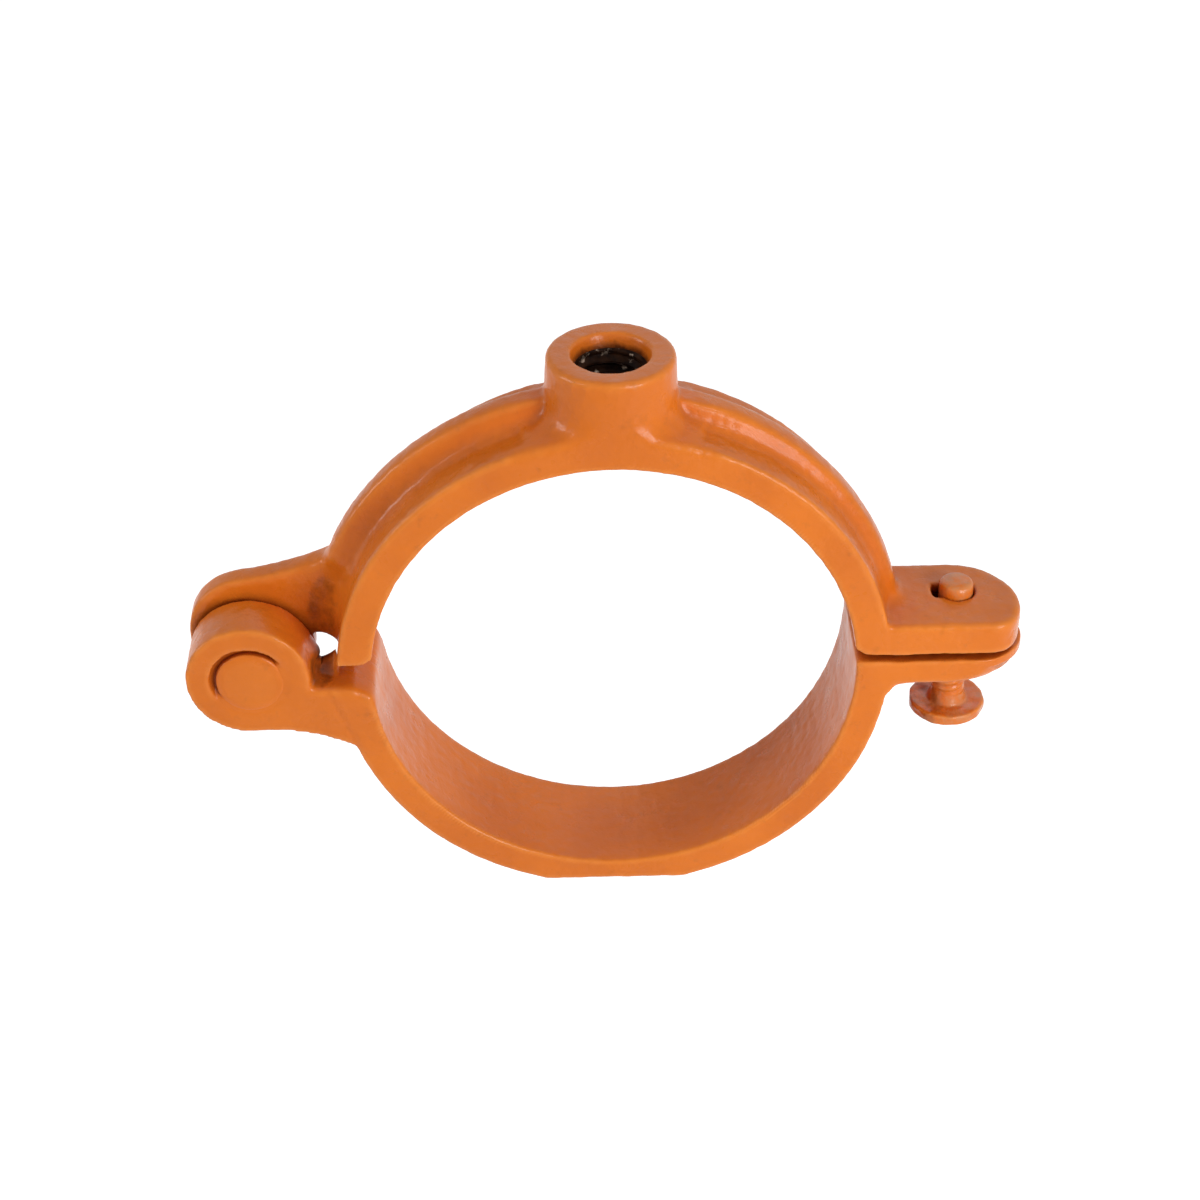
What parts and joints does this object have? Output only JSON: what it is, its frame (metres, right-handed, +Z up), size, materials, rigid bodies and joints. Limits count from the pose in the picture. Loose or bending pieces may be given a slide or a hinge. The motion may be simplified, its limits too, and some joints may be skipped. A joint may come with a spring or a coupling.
{
  "type": "hinged split ring hanger",
  "caption": "Hinged split ring that closes round a pipe with a clamping screw and hangs from a threaded rod in its top boss.",
  "frame": {"origin": "centre of the pipe bore, midway along its width", "axes": "+Y along the pipe axis, away from the front hinge lug; +Z up the rod axis; +X towards the clamping ears"},
  "size_m": [0.1159, 0.0176, 0.0827],
  "materials": {
    "coated_iron": "satin",
    "coated_steel": "satin"
  },
  "bodies": {
    "upper": {"upper_half": "coated_iron"},
    "lower": {"lower_half": "coated_iron", "hinge_pin": "coated_steel"},
    "screw": {"clamp_screw": "coated_steel"}
  },
  "joints": [
    {"name": "ring_hinge", "type": "hinge", "parent": "upper", "child": "lower", "pos_m": [-0.0503, 0, 0.00045], "axis": [0, 1, 0], "range_deg": [0, 245]},
    {"name": "screw_travel", "type": "slide", "parent": "lower", "child": "screw", "axis": [0, 0, 1], "range_m": [-0.008, 0.0082]}
  ]
}
